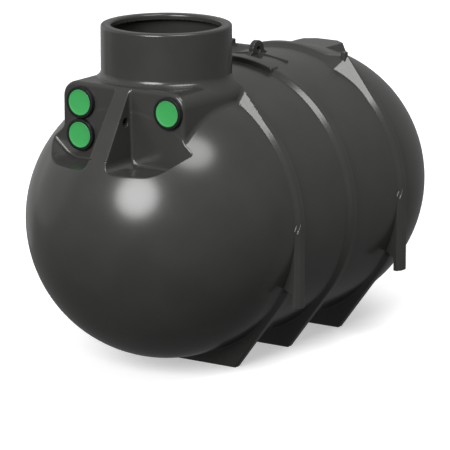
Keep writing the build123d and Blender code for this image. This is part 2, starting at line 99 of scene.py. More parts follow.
@dataclass(frozen=True)
class BodySizes:
    """Driving sizes of the barrel, ribs and feet.

    The barrel is a cylinder about a level axis with a hemisphere at each end.
    """

    radius: float = 0.650
    axis_height: float = 0.697
    half_barrel: float = 0.520
    wall: float = 0.010
    crest_radius: float = 0.665
    crown_crest: float = 0.668
    crown_start: float = math.radians(15.0)
    crown_full: float = math.radians(48.0)
    ribs: tuple[Rib, ...] = (
        Rib(-0.440, Flare(0.320, 1.323, 0.018)),
        Rib(0.005, None),
        Rib(0.450, Flare(0.332, 1.325, 0.024)),
    )
    rib_width: float = 0.062
    slope_end: float = 0.025
    slope_last: float = 0.056
    slope_rise: float = 0.60
    crease: float = math.radians(0.15)
    foot_half_width: float = 0.307

    def tangent_angle(self, x: float, z: float, radius: float) -> float:
        """Angle on a circle about the axis whose tangent passes through a point outside it.

        Args:
            x: Distance of the point from the mid plane.
            z: Height of the point.
            radius: Radius of the circle.

        Returns:
            The angle in radians, counted from level.
        """
        rise = z - self.axis_height
        turn = math.acos(radius / math.hypot(x, rise))
        side = math.atan2(rise, x)
        return side - turn if rise > 0 else side + turn

    @property
    def foot_tangent(self) -> float:
        """Angle where the crest leaves its circle towards the foot."""
        return self.tangent_angle(self.foot_half_width, 0.0, self.crest_radius)

    @property
    def foot_corner(self) -> float:
        """Angle of the foot's lower corner."""
        return math.atan2(-self.axis_height, self.foot_half_width)

    def flare_angles(self, flare: Flare) -> tuple[float, float, float]:
        """Angles where a flare leaves the crest, of its corner, and where its level top ends.

        Args:
            flare: The flare.

        Returns:
            The three angles in radians.
        """
        rise = flare.height - self.axis_height
        start = self.tangent_angle(flare.half_width, flare.height, self.crown_crest)
        return start, math.atan2(rise, flare.half_width), math.asin(rise / self.crown_crest)

    def crest(self, angle: Array, rib: Rib) -> Array:
        """Radius of a rib's crest at angles on the right half of the barrel.

        Args:
            angle: Angles in radians from straight down to straight up.
            rib: The rib.

        Returns:
            The radius at each angle.
        """
        part = np.clip((angle - self.crown_start) / (self.crown_full - self.crown_start), 0.0, 1.0)
        out = self.crest_radius + (self.crown_crest - self.crest_radius) * part * part * (3 - 2 * part)
        side = (angle > self.foot_corner) & (angle < self.foot_tangent)
        out[side] = self.crest_radius / np.cos(angle[side] - self.foot_tangent)
        base = angle <= self.foot_corner
        out[base] = -self.axis_height / np.sin(angle[base])
        if rib.flare:
            start, corner, end = self.flare_angles(rib.flare)
            side = (angle > start) & (angle < corner)
            out[side] = np.maximum(out[side], self.crown_crest / np.cos(angle[side] - start))
            top = (angle >= corner) & (angle < end)
            out[top] = (rib.flare.height - self.axis_height) / np.sin(angle[top])
        return out

    def slope_span(self, angle: Array, rib: Rib) -> tuple[Array, Array]:
        """Distances behind a rib's front edge where its slope leaves the barrel and reaches the crest.

        Args:
            angle: Angles in radians on the right half.
            rib: The rib.

        Returns:
            Where the slope starts and where it ends, at each angle.
        """
        run = (self.crest(angle, rib) - self.radius) / self.slope_rise
        start = np.maximum(self.slope_end - run, 0.0)
        end = np.full_like(start, self.slope_end)
        if rib.flare:
            low, corner, high = self.flare_angles(rib.flare)
            plate = (angle >= low) & (angle <= corner)
            start = np.where(plate, self.on_plate(angle, self.radius, rib.flare), start)
            end = np.where(plate, self.on_plate(angle, self.crest(angle, rib), rib.flare), end)
            shelf = (angle > corner) & (angle < high)
            part = (angle - corner) / (high - corner)
            start = np.where(shelf, start * part - rib.flare.run_out * (1 - part), start)
            end = np.where(shelf, self.slope_end * part + self.slope_last * (1 - part), end)
        return start, end

    def on_plate(self, angle: Array, radius: float | Array, flare: Flare) -> Array:
        """Distance behind the rib's front edge where a flare's flat plate has a given radius.

        The plane holds the crest where the flare starts, the flare's corner, and the foot below the corner.

        Args:
            angle: Angles in radians on the right half.
            radius: The radius.
            flare: The flare.

        Returns:
            The distance at each angle.
        """
        low, corner, _ = self.flare_angles(flare)
        reach = math.hypot(flare.half_width, flare.height - self.axis_height)

        def at(turn: float, distance: float, along: float) -> Array:
            """Point at an angle, a distance from the axis and a place along it."""
            return np.array([distance * math.cos(turn), along, distance * math.sin(turn)])

        first = at(low, self.crown_crest, self.slope_end)
        tip = at(corner, reach, self.slope_last)
        foot = at(corner, self.radius, -flare.run_out)
        normal = np.cross(tip - first, foot - tip)
        across = normal[0] * np.cos(angle) + normal[2] * np.sin(angle)
        return (normal @ first - radius * across) / normal[1]

    def rib_radius(self, angle: Array, along: Array, rib: Rib) -> Array:
        """Radius of a rib's surface at a distance behind its front edge.

        Args:
            angle: Angles in radians on the right half.
            along: Distances behind the rib's front edge.
            rib: The rib.

        Returns:
            The radius at each point.
        """
        start, end = self.slope_span(angle, rib)
        part = np.clip((along - start) / (end - start), 0.0, 1.0)
        return self.radius + (self.crest(angle, rib) - self.radius) * part


@dataclass(frozen=True)
class FrontSizes:
    """Driving sizes of the neck, the port housing, the recesses and the nose."""

    neck_radius: float = 0.300
    neck_top: float = 1.600
    neck_wall: float = 0.012
    neck_fillet: float = 0.030
    rim_inner: float = 0.252
    rim_depth: float = 0.028
    rim_round: float = 0.011
    bore_seam: float = 1.566
    bore_low: float = 1.100
    housing_half: float = 0.335
    housing_front: float = -0.866
    housing_back: float = -0.378
    housing_top: float = 1.358
    housing_shoulder: float = 0.072
    housing_corner: float = 0.020
    housing_foot_round: float = 0.014
    floor_height: float = 1.004
    floor_end: float = 0.283
    slant: float = math.radians(42.0)
    recess_round: float = 0.012
    recess_corner: float = 0.045
    recess_bend: float = 0.030
    lip_round: float = 0.005
    nose_low: float = 0.050
    nose_high: float = 0.038
    nose_foot: float = 1.057
    nose_back: float = -0.700
    rib_edge: float = 0.003
    tie_radius: float = 0.020
    tie_y: float = -0.904
    tie_z: float = 1.207
    region_half: float = 0.462
    region_low: float = 0.985
    region_back: float = -0.205


# Mesh helpers

def round_union(a: Array, b: Array, radius: float) -> Array:
    """Union of two distance fields with a round fillet between them.

    Args:
        a: Distances to the first form.
        b: Distances to the second.
        radius: Radius of the fillet.

    Returns:
        The distances to both.
    """
    u = np.maximum(radius - a, 0.0)
    v = np.maximum(radius - b, 0.0)
    return np.maximum(radius, np.minimum(a, b)) - np.hypot(u, v)


def round_common(a: Array, b: Array, radius: float) -> Array:
    """Common part of two distance fields with its edge rounded."""
    return -round_union(-a, -b, radius)


def as_object(name: str, verts: Array, faces: Sequence[Sequence[int]] | Array) -> bpy.types.Object:
    """Makes a smooth shaded mesh object from points and faces.

    Args:
        name: Name of the piece.
        verts: Points, one row each.
        faces: Corner indices of each face.

    Returns:
        The new object, linked to the scene.
    """
    mesh = bpy.data.meshes.new(name)
    mesh.from_pydata(np.asarray(verts).tolist(), [], [list(map(int, f)) for f in faces])
    mesh.validate()
    mesh.polygons.foreach_set("use_smooth", [True] * len(mesh.polygons))
    obj = bpy.data.objects.new(name, mesh)
    bpy.context.scene.collection.objects.link(obj)
    return obj


def points_of(mesh: bpy.types.Mesh) -> Array:
    """Points of a mesh as an array with one row each.

    Args:
        mesh: The mesh.

    Returns:
        The points.
    """
    flat = np.empty(len(mesh.vertices) * 3)
    mesh.vertices.foreach_get("co", flat)
    return flat.reshape(-1, 3)


def set_normals(obj: bpy.types.Object, normals: Array) -> None:
    """Gives a mesh one exact normal for each point."""
    lengths = np.linalg.norm(normals, axis=1, keepdims=True)
    obj.data.normals_split_custom_set_from_vertices((normals / np.maximum(lengths, LEAST_LENGTH)).tolist())


@contextmanager
def edited(obj: bpy.types.Object) -> Iterator[bmesh.types.BMesh]:
    """Opens a piece's mesh for editing and writes it back at the end.

    Args:
        obj: The piece.

    Yields:
        The mesh that is edited.
    """
    bm = bmesh.new()
    bm.from_mesh(obj.data)
    yield bm
    bm.to_mesh(obj.data)
    bm.free()


def part_faces(bm: bmesh.types.BMesh, point: Sequence[float], normal: Sequence[float]) -> None:
    """Parts all faces along a plane and keeps both sides."""
    geometry = bm.verts[:] + bm.edges[:] + bm.faces[:]
    bmesh.ops.bisect_plane(bm, geom=geometry, dist=CUT_SNAP, plane_co=point, plane_no=normal)


def drop_faces(bm: bmesh.types.BMesh, unwanted: Callable[[Vector], bool]) -> None:
    """Deletes the faces whose middle is unwanted."""
    doomed = [face for face in bm.faces if unwanted(face.calc_center_median())]
    bmesh.ops.delete(bm, geom=doomed, context="FACES")


def face_outwards(obj: bpy.types.Object) -> None:
    """Merges doubled points and turns all faces outwards.

    Args:
        obj: The piece.
    """
    with edited(obj) as bm:
        bmesh.ops.remove_doubles(bm, verts=bm.verts[:], dist=MERGE_DISTANCE)
        bmesh.ops.recalc_face_normals(bm, faces=bm.faces[:])


def closed_tube(
    name: str, rings: Sequence[Array], front_pole: Sequence[float], rear_pole: Sequence[float]
) -> bpy.types.Object:
    """Joins rings of points to a tube and closes each end with a fan.

    Args:
        name: Name of the piece.
        rings: Points of each ring, from front to rear.
        front_pole: Middle of the front fan.
        rear_pole: Middle of the rear fan.

    Returns:
        The new object.
    """
    count = len(rings[0])
    verts = np.concatenate([*rings, [front_pole], [rear_pole]])
    top = (len(rings) - 1) * count
    faces: list[tuple[int, ...]] = []
    for k in range(count):
        after = (k + 1) % count
        for row in range(0, top, count):
            faces.append((row + k, row + after, row + count + after, row + count + k))
        faces.append((len(verts) - 2, after, k))
        faces.append((len(verts) - 1, top + k, top + after))
    return as_object(name, verts, faces)


def area_normals(mesh: bpy.types.Mesh) -> Array:
    """Normals at the points, weighted by the area of the faces around each.

    Args:
        mesh: The mesh.

    Returns:
        One normal for each point, with the summed area as its length.
    """
    total = np.zeros((len(mesh.vertices), 3))
    for face in mesh.polygons:
        push = np.array(face.normal) * face.area
        for index in face.vertices:
            total[index] += push
    return total


@dataclass
class RegionBox:
    """Box that parts the front moulding from the skin of the barrel."""

    half: float
    low: float
    back: float

    def cut(self, obj: bpy.types.Object, keep_inside: bool) -> None:
        """Cuts a mesh along the box and keeps what lies on one side of it.

        Args:
            obj: The mesh object to cut.
            keep_inside: Whether the inside of the box is kept.
        """
        planes = [
            ((self.half, 0, 0), (1, 0, 0)),
            ((-self.half, 0, 0), (-1, 0, 0)),
            ((0, 0, self.low), (0, 0, -1)),
            ((0, self.back, 0), (0, 1, 0)),
        ]
        with edited(obj) as bm:
            for point, normal in planes:
                part_faces(bm, point, normal)
            drop_faces(bm, lambda centre: self.holds(centre) != keep_inside)

    def holds(self, point: Vector) -> bool:
        """Whether a point lies in the box."""
        return abs(point.x) < self.half and point.z > self.low and point.y < self.back


@dataclass
class SurfaceNet:
    """Quad mesh on the zero surface of a distance field inside a box.

    Attributes:
        distance: Function from points to signed distances.
        low: Lowest corner of the box.
        high: Highest corner of the box.
        cell: Edge length of one cell.
        probe: Step on each side of a point that reads the field's slope.
        settle_steps: Steps that move the points onto the surface.
    """

    distance: Callable[[Array], Array]
    low: tuple[float, float, float]
    high: tuple[float, float, float]
    cell: float
    probe: float = 0.0003
    settle_steps: int = 4

    def sample(self) -> Array:
        """Signed distances at all grid points, slice by slice.

        Returns:
            The distances on the grid.
        """
        counts = [int(math.ceil((h - l) / self.cell)) + 1 for l, h in zip(self.low, self.high)]
        axes = [l + self.cell * np.arange(n) for l, n in zip(self.low, counts)]
        grid = np.empty(counts)
        ys, zs = np.meshgrid(axes[1], axes[2], indexing="ij")
        for i, x in enumerate(axes[0]):
            slab = np.stack([np.full(ys.size, x), ys.ravel(), zs.ravel()], axis=1)
            grid[i] = self.distance(slab).reshape(ys.shape)
        return grid

    def build(self) -> tuple[Array, Array]:
        """Finds the surface.

        Returns:
            The points on the surface and the quads between them.
        """
        grid = self.sample()
        inside = grid < 0
        corners = [inside[a:a - 1 or None, b:b - 1 or None, c:c - 1 or None]
                   for a in (0, 1) for b in (0, 1) for c in (0, 1)]
        count = sum(corner.astype(np.int8) for corner in corners)
        mixed = (count > 0) & (count < 8)
        index = np.full(mixed.shape, -1, dtype=np.int64)
        cells = np.argwhere(mixed)
        index[mixed] = np.arange(len(cells))
        verts = self.crossings(grid, cells)
        quads = [self.quads_along(inside, index, axis) for axis in range(3)]
        return self.settle(verts), np.concatenate(quads)

    def crossings(self, grid: Array, cells: Array) -> Array:
        """Mean of the places where the surface crosses the edges of each cell.

        Args:
            grid: Distances on the grid.
            cells: Indices of the cells that the surface passes.

        Returns:
            One point for each cell.
        """
        total = np.zeros((len(cells), 3))
        hits = np.zeros(len(cells))
        for axis in range(3):
            others = [k for k in range(3) if k != axis]
            for first in (0, 1):
                for second in (0, 1):
                    start = np.zeros(3, dtype=np.int64)
                    start[others[0]] = first
                    start[others[1]] = second
                    end = start.copy()
                    end[axis] = 1
                    a = grid[tuple((cells + start).T)]
                    b = grid[tuple((cells + end).T)]
                    crossed = (a < 0) != (b < 0)
                    part = np.where(crossed, a / np.where(crossed, a - b, 1.0), 0.0)
                    place = (cells + start).astype(float)
                    place[:, axis] += part
                    total += place * crossed[:, None]
                    hits += crossed
        return np.array(self.low) + self.cell * total / hits[:, None]

    def quads_along(self, inside: Array, index: Array, axis: int) -> Array:
        """Quads around the grid edges along one axis that cross the surface.

        Args:
            inside: Which grid points lie inside.
            index: Number of each cell's point.
            axis: The axis of the edges.

        Returns:
            The quads.
        """
        moved = np.moveaxis(inside, axis, 0)
        cells = np.moveaxis(index, axis, 0)
        a = moved[:-1, 1:-1, 1:-1]
        b = moved[1:, 1:-1, 1:-1]
        ring = [cells[:, :-1, :-1], cells[:, 1:, :-1], cells[:, 1:, 1:], cells[:, :-1, 1:]]
        quads = np.stack([r[a != b] for r in ring], axis=1)
        leaving = a[a != b]
        if axis == 1:
            leaving = ~leaving
        quads[~leaving] = quads[~leaving][:, ::-1]
        return quads[(quads >= 0).all(axis=1)]

    def gradient(self, points: Array) -> Array:
        """Slope of the field at points.

        Args:
            points: The points.

        Returns:
            The slope at each point.
        """
        out = np.empty_like(points)
        for axis in range(3):
            push = np.zeros(3)
            push[axis] = self.probe
            out[:, axis] = self.distance(points + push) - self.distance(points - push)
        return out / (2 * self.probe)

    def settle(self, points: Array) -> Array:
        """Moves points onto the surface in a few short steps.

        Args:
            points: The points.

        Returns:
            The moved points.
        """
        for _ in range(self.settle_steps):
            slope = self.gradient(points)
            gap = self.distance(points)[:, None]
            move = gap * slope / np.maximum((slope ** 2).sum(axis=1, keepdims=True), LEAST_SLOPE)
            points = points - np.clip(move, -self.cell, self.cell)
        return points


# Finishes

def add_node(tree: bpy.types.NodeTree, kind: str, **values: object) -> bpy.types.Node:
    """Adds a node and sets its inputs, with an underscore for each space of a name.

    Args:
        tree: The tree.
        kind: Type of the node.
        values: Value of each input.

    Returns:
        The node.
    """
    node = tree.nodes.new(kind)
    for name, value in values.items():
        node.inputs[name.replace("_", " ")].default_value = value
    return node


@dataclass(frozen=True)
class Grain:
    """Noise pattern on object coordinates."""

    scale: float
    detail: float

    def add(self, tree: bpy.types.NodeTree) -> bpy.types.NodeSocket:
        """Adds the pattern to a tree and returns its value.

        Args:
            tree: The tree.

        Returns:
            The pattern's value.
        """
        where = add_node(tree, "ShaderNodeTexCoord")
        node = add_node(tree, "ShaderNodeTexNoise", Scale=self.scale, Detail=self.detail)
        tree.links.new(where.outputs["Object"], node.inputs["Vector"])
        return node.outputs["Fac"]


@dataclass(frozen=True)
class Finish:
    """Moulded surface with two close tones in a soft mottle and a fine skin as bump.

    Attributes:
        name: Name of the material.
        tones: The two colours.
        mottle: Pattern that mixes the tones.
        skin: Pattern of the fine skin.
        skin_strength: How strongly the skin shows.
        skin_depth: Depth of the skin.
        roughness: Mean roughness.
        wear: Pattern of the roughness, or nothing where it is even.
        wear_spread: How far the roughness goes to either side.
        gloss: Specular level.
        tone_edges: Values of the mottle where each tone is full.
    """

    name: str
    tones: tuple[Colour, Colour]
    mottle: Grain
    skin: Grain
    skin_strength: float
    skin_depth: float
    roughness: float
    wear: Grain | None = None
    wear_spread: float = 0.03
    gloss: float = 0.5
    tone_edges: tuple[float, float] = (0.35, 0.65)

    def build(self) -> bpy.types.Material:
        """Builds the material from its values.

        Returns:
            The material.
        """
        mat, tree, shader = new_material(self.name, self.roughness, self.gloss)
        ramp = tree.nodes.new("ShaderNodeValToRGB")
        for element, place, tone in zip(ramp.color_ramp.elements, self.tone_edges, self.tones):
            element.position = place
            element.color = (*tone, 1.0)
        tree.links.new(self.mottle.add(tree), ramp.inputs["Fac"])
        tree.links.new(ramp.outputs["Color"], shader.inputs["Base Color"])
        if self.wear:
            low = self.roughness - self.wear_spread
            high = self.roughness + self.wear_spread
            rough = add_node(tree, "ShaderNodeMapRange", To_Min=low, To_Max=high)
            tree.links.new(self.wear.add(tree), rough.inputs["Value"])
            tree.links.new(rough.outputs["Result"], shader.inputs["Roughness"])
        bump = add_node(tree, "ShaderNodeBump", Strength=self.skin_strength, Distance=self.skin_depth)
        tree.links.new(self.skin.add(tree), bump.inputs["Height"])
        tree.links.new(bump.outputs["Normal"], shader.inputs["Normal"])
        return mat


TANK_FINISH = Finish(
    "moulded_plastic", ((0.0285, 0.0282, 0.0262), (0.0325, 0.0322, 0.0300)), Grain(5.0, 3.0),
    Grain(260.0, 2.0), 0.05, 0.0004, roughness=0.23, wear=Grain(45.0, 4.0),
)
SEAL_FINISH = Finish(
    "seal_rubber", ((0.006, 0.006, 0.007), (0.011, 0.011, 0.012)), Grain(60.0, 4.0),
    Grain(900.0, 2.0), 0.06, 0.0002, roughness=0.42, gloss=0.22,
)
CAP_FINISH = Finish(
    "cap_plastic", ((0.034, 0.300, 0.074), (0.031, 0.285, 0.069)), Grain(30.0, 3.0),
    Grain(700.0, 2.0), 0.05, 0.0002, roughness=0.42,
)


@dataclass(frozen=True)
class StudioFloor:
    """Plain pale floor."""

    name: str = "studio_floor"
    colour: Colour = (0.80, 0.80, 0.80)
    glow: float = 0.45
    roughness: float = 0.9
    gloss: float = 0.1

    def build(self) -> bpy.types.Material:
        """Builds the material from its values.

        Returns:
            The material.
        """
        mat, _, shader = new_material(self.name, self.roughness, self.gloss)
        shader.inputs["Base Color"].default_value = (*self.colour, 1.0)
        shader.inputs["Emission Color"].default_value = WHITE
        shader.inputs["Emission Strength"].default_value = self.glow
        return mat


def new_material(
    name: str, roughness: float, gloss: float
) -> tuple[bpy.types.Material, bpy.types.NodeTree, bpy.types.Node]:
    """Makes a node material and returns it with its tree and its shader node.

    Args:
        name: Name of the material.
        roughness: Its roughness.
        gloss: Its specular level.

    Returns:
        The material, its tree and its shader node.
    """
    mat = bpy.data.materials.new(name)
    mat.use_nodes = True
    shader = mat.node_tree.nodes["Principled BSDF"]
    shader.inputs["Roughness"].default_value = roughness
    shader.inputs["Specular IOR Level"].default_value = gloss
    return mat, mat.node_tree, shader


class Slot(Enum):
    """Material slots of the record."""

    PLASTIC = "tank_plastic"
    SEAL = "port_seal"
    CAP = "port_cap"


class Wardrobe:
    """Finishes of the part, one material for each slot."""

    def __init__(self) -> None:
        """Builds every material once."""
        finishes = {Slot.PLASTIC: TANK_FINISH, Slot.SEAL: SEAL_FINISH, Slot.CAP: CAP_FINISH}
        self.materials = {slot: finish.build() for slot, finish in finishes.items()}

    def dress(self, obj: bpy.types.Object, slot: Slot, nodes: Sequence[str]) -> None:
        """Gives a piece its slot's material and its body, and hides the nodes that it stands for.

        Args:
            obj: The finished piece.
            slot: The record's slot.
            nodes: Names of the nodes that it replaces.
        """
        obj.data.materials.clear()
        obj.data.materials.append(self.materials[slot])
        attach(obj, ROOT)
        if nodes:
            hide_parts(*nodes)
        LOG.info("%s: %d faces", obj.name, len(obj.data.polygons))


# Moulded body

class Moulding(ABC):
    """Something that builds visible pieces of the tank."""

    @abstractmethod
    def build(self, wardrobe: Wardrobe) -> None:
        """Builds and dresses the pieces.

        Args:
            wardrobe: The finishes.
        """


@dataclass
class BarrelSkin(Moulding):
    """Outer skin of the barrel, its ends, the ribs and the feet.

    Attributes:
        sizes: Sizes of the body.
        region: Box that the front moulding fills.
        edge: Width of the rounded edges of the ribs.
        end_steps: Rings on each end.
        bay_rings: Rings on the barrel in front of each rib.
        degree_step: Angle between neighbouring points of a ring, in degrees.
    """

    sizes: BodySizes
    region: RegionBox
    edge: float = 0.0022
    end_steps: int = 64
    bay_rings: int = 8
    degree_step: float = 1.0

    def angles(self) -> Array:
        """Angles of a full ring, with points at every corner of the ribs.

        Returns:
            The angles in radians, from straight down to the right and round.
        """
        s = self.sizes
        keys = [-math.pi / 2, s.foot_corner, s.foot_tangent, math.pi / 2]
        for rib in s.ribs:
            if rib.flare:
                start, corner, end = s.flare_angles(rib.flare)
                keys += [start, corner, corner + s.crease, end]
        keys.sort()
        right: list[float] = []
        for a, b in zip(keys, keys[1:]):
            count = max(1, int(round(math.degrees(b - a) / self.degree_step)))
            right += list(np.linspace(a, b, count, endpoint=False))
        left = [math.pi - a for a in reversed(right[1:])]
        return np.array(right + [math.pi / 2] + left)

    def ring(self, y: float | Array, radii: Array, angles: Array) -> Array:
        """Points of one ring about the axis, level or with its own place at each angle.

        Args:
            y: Place along the axis.
            radii: Radius at each angle.
            angles: The ring's angles.

        Returns:
            The points.
        """
        places = np.full_like(angles, y) if np.isscalar(y) else y
        heights = self.sizes.axis_height + radii * np.sin(angles)
        return np.stack([radii * np.cos(angles), places, heights], axis=1)

    def stations(self, angles: Array) -> list[Array]:
        """All rings from the front end to the rear end, without the two poles.

        Args:
            angles: The rings' angles.

        Returns:
            The points of each ring.
        """
        s = self.sizes
        folded = np.where(angles > math.pi / 2, math.pi - angles, angles)
        plain = np.full_like(angles, s.radius)
        turns = [0.5 * math.pi * k / self.end_steps for k in range(1, self.end_steps)]
        ends = [(s.half_barrel + s.radius * math.cos(turn), plain * math.sin(turn)) for turn in turns]
        rings = [self.ring(-place, radii, angles) for place, radii in ends]
        last = -s.half_barrel
        e = self.edge
        for rib in s.ribs:
            crest = s.crest(folded, rib)
            foot, head = s.slope_span(folded, rib)
            for part in np.linspace(0.0, 1.0, self.bay_rings):
                rings.append(self.ring(last + (rib.front + foot - e - last) * part, plain, angles))
            for along in (foot + e, (foot + head) / 2, head - e):
                rings.append(self.ring(rib.front + along, s.rib_radius(folded, along, rib), angles))
            rings.append(self.ring(rib.front + head + e, crest, angles))
            back = rib.front + s.rib_width
            rings.append(self.ring(back - e, crest, angles))
            rings.append(self.ring(back, crest - e, angles))
            rings.append(self.ring(back, (crest + s.radius) / 2, angles))
            rings.append(self.ring(back, plain + e, angles))
            last = back + e
        rings.append(self.ring(last, plain, angles))
        return rings + [self.ring(place, radii, angles) for place, radii in reversed(ends)]

    def build(self, wardrobe: Wardrobe) -> None:
        """Builds and dresses the skin.

        Args:
            wardrobe: The finishes.
        """
        s = self.sizes
        reach = s.half_barrel + s.radius
        poles = (0, -reach, s.axis_height), (0, reach, s.axis_height)
        obj = closed_tube("barrel_skin", self.stations(self.angles()), *poles)
        face_outwards(obj)
        self.region.cut(obj, keep_inside=False)
        normals = area_normals(obj.data)
        points = points_of(obj.data)
        centre_y = np.clip(points[:, 1], -s.half_barrel, s.half_barrel)
        offset = np.stack([points[:, 0], points[:, 1] - centre_y, points[:, 2] - s.axis_height], axis=1)
        plain = np.abs(np.linalg.norm(offset, axis=1) - s.radius) < ON_SKIN
        turn = np.arctan2(offset[:, 2], np.abs(points[:, 0]))
        for rib in s.ribs:
            along = points[:, 1] - rib.front
            foot, _ = s.slope_span(turn, rib)
            plain &= (along < foot - self.edge / 2) | (along > s.rib_width + 1.5 * self.edge)
        normals[plain] = offset[plain]
        set_normals(obj, normals)
        nodes = []
        for end in ("front", "rear"):
            nodes.append(f"{end}_dome")
            nodes += [f"{end}_bay_{side}" for side in ("top", "left", "right", "bottom")]
        for rib in ("front", "middle", "rear"):
            nodes += [f"{rib}_rib_left", f"{rib}_rib_right", f"{rib}_foot"]
        wardrobe.dress(obj, Slot.PLASTIC, nodes)


@dataclass
class FrontMoulding(Moulding):
    """Neck, port housing, recesses and nose as one moulded skin.

    Attributes:
        body: Sizes of the barrel.
        sizes: Sizes of the front moulding.
        region: Box that it fills.
        cell: Edge length of the outer skin's mesh.
        lining_cell: Edge length of the lining's mesh.
    """

    body: BodySizes
    sizes: FrontSizes
    region: RegionBox
    cell: float = 0.005
    lining_cell: float = 0.008

    def vessel(self, x: Array, y: Array, z: Array) -> Array:
        """Distance to the barrel with its ends and the front rib.

        Args:
            x: Places across.
            y: Places along.
            z: Heights.

        Returns:
            The distance at each point, negative inside.
        """
        b = self.body
        s = self.sizes
        rise = z - b.axis_height
        middle = np.clip(y, -b.half_barrel, b.half_barrel)
        plain = np.sqrt(x * x + (y - middle) ** 2 + rise * rise) - b.radius
        angle = np.arctan2(rise, np.abs(x))
        rib = b.ribs[0]
        along = y - rib.front
        crest = b.rib_radius(angle, along, rib)
        ridge = round_common(np.hypot(x, rise) - crest, np.maximum(-along, along - b.rib_width), s.rib_edge)
        return np.minimum(plain, ridge)

    def housing(self, x: Array, y: Array, z: Array) -> Array:
        """Distance to the square block under the neck.

        Args:
            x: Places across.
            y: Places along.
            z: Heights.

        Returns:
            The distance at each point, negative inside.
        """
        s = self.sizes
        r = s.housing_shoulder
        u = np.abs(x) - (s.housing_half - r)
        v = z - (s.housing_top - r)
        section = np.hypot(np.maximum(u, 0), np.maximum(v, 0)) + np.minimum(np.maximum(u, v), 0) - r
        middle = (s.housing_front + s.housing_back) / 2
        depth = np.abs(y - middle) - (s.housing_back - s.housing_front) / 2
        return round_common(section, depth, s.housing_corner)

    def nose(self, x: Array, y: Array, z: Array) -> Array:
        """Distance to the wedge between the recesses.

        Args:
            x: Places across.
            y: Places along.
            z: Heights.

        Returns:
            The distance at each point, negative inside.
        """
        s = self.sizes
        b = self.body
        rise = (s.nose_foot - b.axis_height) / b.radius
        run = math.sqrt(1 - rise * rise)
        face = -(y + b.half_barrel) * run + (z - b.axis_height) * rise - b.radius
        block = np.maximum(round_common(face, z - s.housing_top, s.lip_round), np.abs(x) - s.nose_low)
        return np.maximum(np.maximum(block, s.nose_foot - z), y - s.nose_back)

    def recess(self, x: Array, y: Array, z: Array) -> Array:
        """Distance to the empty space in front of the port walls.

        Args:
            x: Places across.
            y: Places along.
            z: Heights.

        Returns:
            The distance at each point, negative inside.
        """
        s = self.sizes
        side = np.abs(x)
        taper = (s.nose_low - s.nose_high) / (s.housing_top - s.floor_height)
        nose_face = (s.nose_low - taper * (z - s.floor_height)) - side
        slope = (side - s.floor_end) * math.sin(s.slant) - (z - s.floor_height) * math.cos(s.slant)
        bottom = round_common(s.floor_height - z, slope, s.recess_bend)
        space = round_common(bottom, nose_face, s.recess_corner)
        return round_common(space, y - s.housing_front, s.recess_round)

    def form(self, x: Array, y: Array, z: Array) -> Array:
        """Distance to the barrel's end with its housing, nose and recesses, without the neck.

        Args:
            x: Places across.
            y: Places along.
            z: Heights.

        Returns:
            The distance at each point, negative inside.
        """
        s = self.sizes
        body = round_union(self.vessel(x, y, z), self.housing(x, y, z), s.housing_foot_round)
        body = np.minimum(body, self.nose(x, y, z))
        return round_common(body, -self.recess(x, y, z), s.lip_round)

    def tie_hole(self, x: Array, y: Array, z: Array) -> Array:
        """Distance to the cross hole of the nose."""
        s = self.sizes
        return np.maximum(np.hypot(y - s.tie_y, z - s.tie_z) - s.tie_radius, np.abs(x) - 2 * s.nose_low)

    def outside(self, points: Array) -> Array:
        """Signed distance to the outer skin with the neck, its rim and the upper end of its bore.

        Args:
            points: One row for each point.

        Returns:
            Distances, negative inside.
        """
        s = self.sizes
        x, y, z = points[:, 0], points[:, 1], points[:, 2]
        body = round_common(self.form(x, y, z), -self.tie_hole(x, y, z), s.lip_round / 2)
        reach = np.hypot(x, y + self.body.half_barrel)
        neck = round_common(reach - s.neck_radius, z - s.neck_top, s.rim_round)
        body = round_union(body, np.maximum(neck, s.bore_low - z), s.neck_fillet)
        rim_bottom = s.neck_top - s.rim_depth
        mouth = np.maximum(reach - s.rim_inner, rim_bottom - s.neck_wall - z)
        body = round_common(body, -mouth, s.rim_round)
        bore_end = s.bore_seam - 2 * s.neck_wall
        bore = np.maximum(reach - self.bore_radius, np.maximum(z - rim_bottom, bore_end - z))
        return np.maximum(body, -bore)

    def inside(self, points: Array) -> Array:
        """Signed distance to the hollow of the tank and the bore of the neck.

        Args:
            points: One row for each point.

        Returns:
            Distances, negative in the hollow.
        """
        s = self.sizes
        x, y, z = points[:, 0], points[:, 1], points[:, 2]
        wall = self.body.wall
        hollow = np.maximum(self.form(x, y, z) + wall, wall - self.tie_hole(x, y, z))
        reach = np.hypot(x, y + self.body.half_barrel)
        bore = np.maximum(reach - self.bore_radius, np.maximum(z - s.neck_top, s.bore_low - z))
        return np.minimum(hollow, bore)

    @property
    def bore_radius(self) -> float:
        """Radius of the neck's bore."""
        return self.sizes.neck_radius - self.sizes.neck_wall

    def net(self, distance: Callable[[Array], Array], cell: float) -> SurfaceNet:
        """Net over the box of the moulding.

        Args:
            distance: Distance field.
            cell: Edge length of the mesh.

        Returns:
            The net.
        """
        s = self.sizes
        b = self.body
        margin = 3 * cell
        front = -b.half_barrel - math.sqrt(b.radius ** 2 - (self.region.low - b.axis_height) ** 2)
        low = (-self.region.half - margin, front - margin, self.region.low - margin)
        high = (self.region.half + margin, self.region.back + margin, s.neck_top + margin)
        return SurfaceNet(distance, low, high, cell)

